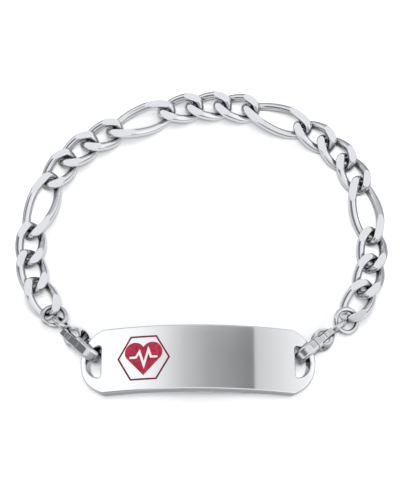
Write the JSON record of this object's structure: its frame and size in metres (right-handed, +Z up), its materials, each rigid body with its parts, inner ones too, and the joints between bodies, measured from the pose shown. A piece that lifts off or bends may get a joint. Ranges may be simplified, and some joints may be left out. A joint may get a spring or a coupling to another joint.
{
  "type": "medical alert bracelet",
  "caption": "Medical alert bracelet: a curved steel plate with a red enamel emblem, held at both ends by lobster clasps to a flat figaro chain.",
  "frame": {"origin": "on the table, in the middle of the opening for the wrist", "axes": "+X along the plate toward the right clasp, +Y from the plate to the back of the chain, +Z up from the table"},
  "size_m": [0.071, 0.0633, 0.0086],
  "materials": {
    "polished_steel": "polished",
    "red_enamel": "gloss"
  },
  "bodies": {
    "bracelet": {"id_plate": "polished_steel", "emblem_border": "red_enamel", "emblem_heart": "red_enamel", "short_link_01": "polished_steel", "short_link_02": "polished_steel", "short_link_03": "polished_steel", "long_link_01": "polished_steel", "short_link_04": "polished_steel", "short_link_05": "polished_steel", "short_link_06": "polished_steel", "long_link_02": "polished_steel", "short_link_07": "polished_steel", "short_link_08": "polished_steel", "short_link_09": "polished_steel", "long_link_03": "polished_steel", "short_link_10": "polished_steel", "short_link_11": "polished_steel", "short_link_12": "polished_steel", "long_link_04": "polished_steel", "short_link_13": "polished_steel", "short_link_14": "polished_steel", "short_link_15": "polished_steel", "left_jump_ring": "polished_steel", "right_jump_ring": "polished_steel", "left_clasp_body": "polished_steel", "left_clasp_pin": "polished_steel", "right_clasp_body": "polished_steel", "right_clasp_pin": "polished_steel"},
    "left_lever": {"left_clasp_lever": "polished_steel"},
    "right_lever": {"right_clasp_lever": "polished_steel"}
  },
  "joints": [
    {"name": "left_lever_hinge", "type": "hinge", "parent": "bracelet", "child": "left_lever", "pos_m": [-0.02344, -0.01975, 0.00426], "axis": [0.6001, 0.6724, 0.4333], "range_deg": [0, 18], "stiffness_Nm_per_rad": 0.002, "springref_deg": -11.46},
    {"name": "right_lever_hinge", "type": "hinge", "parent": "bracelet", "child": "right_lever", "pos_m": [0.02349, -0.01993, 0.00438], "axis": [0.6347, -0.7604, -0.1377], "range_deg": [0, 18], "stiffness_Nm_per_rad": 0.002, "springref_deg": -11.46}
  ]
}
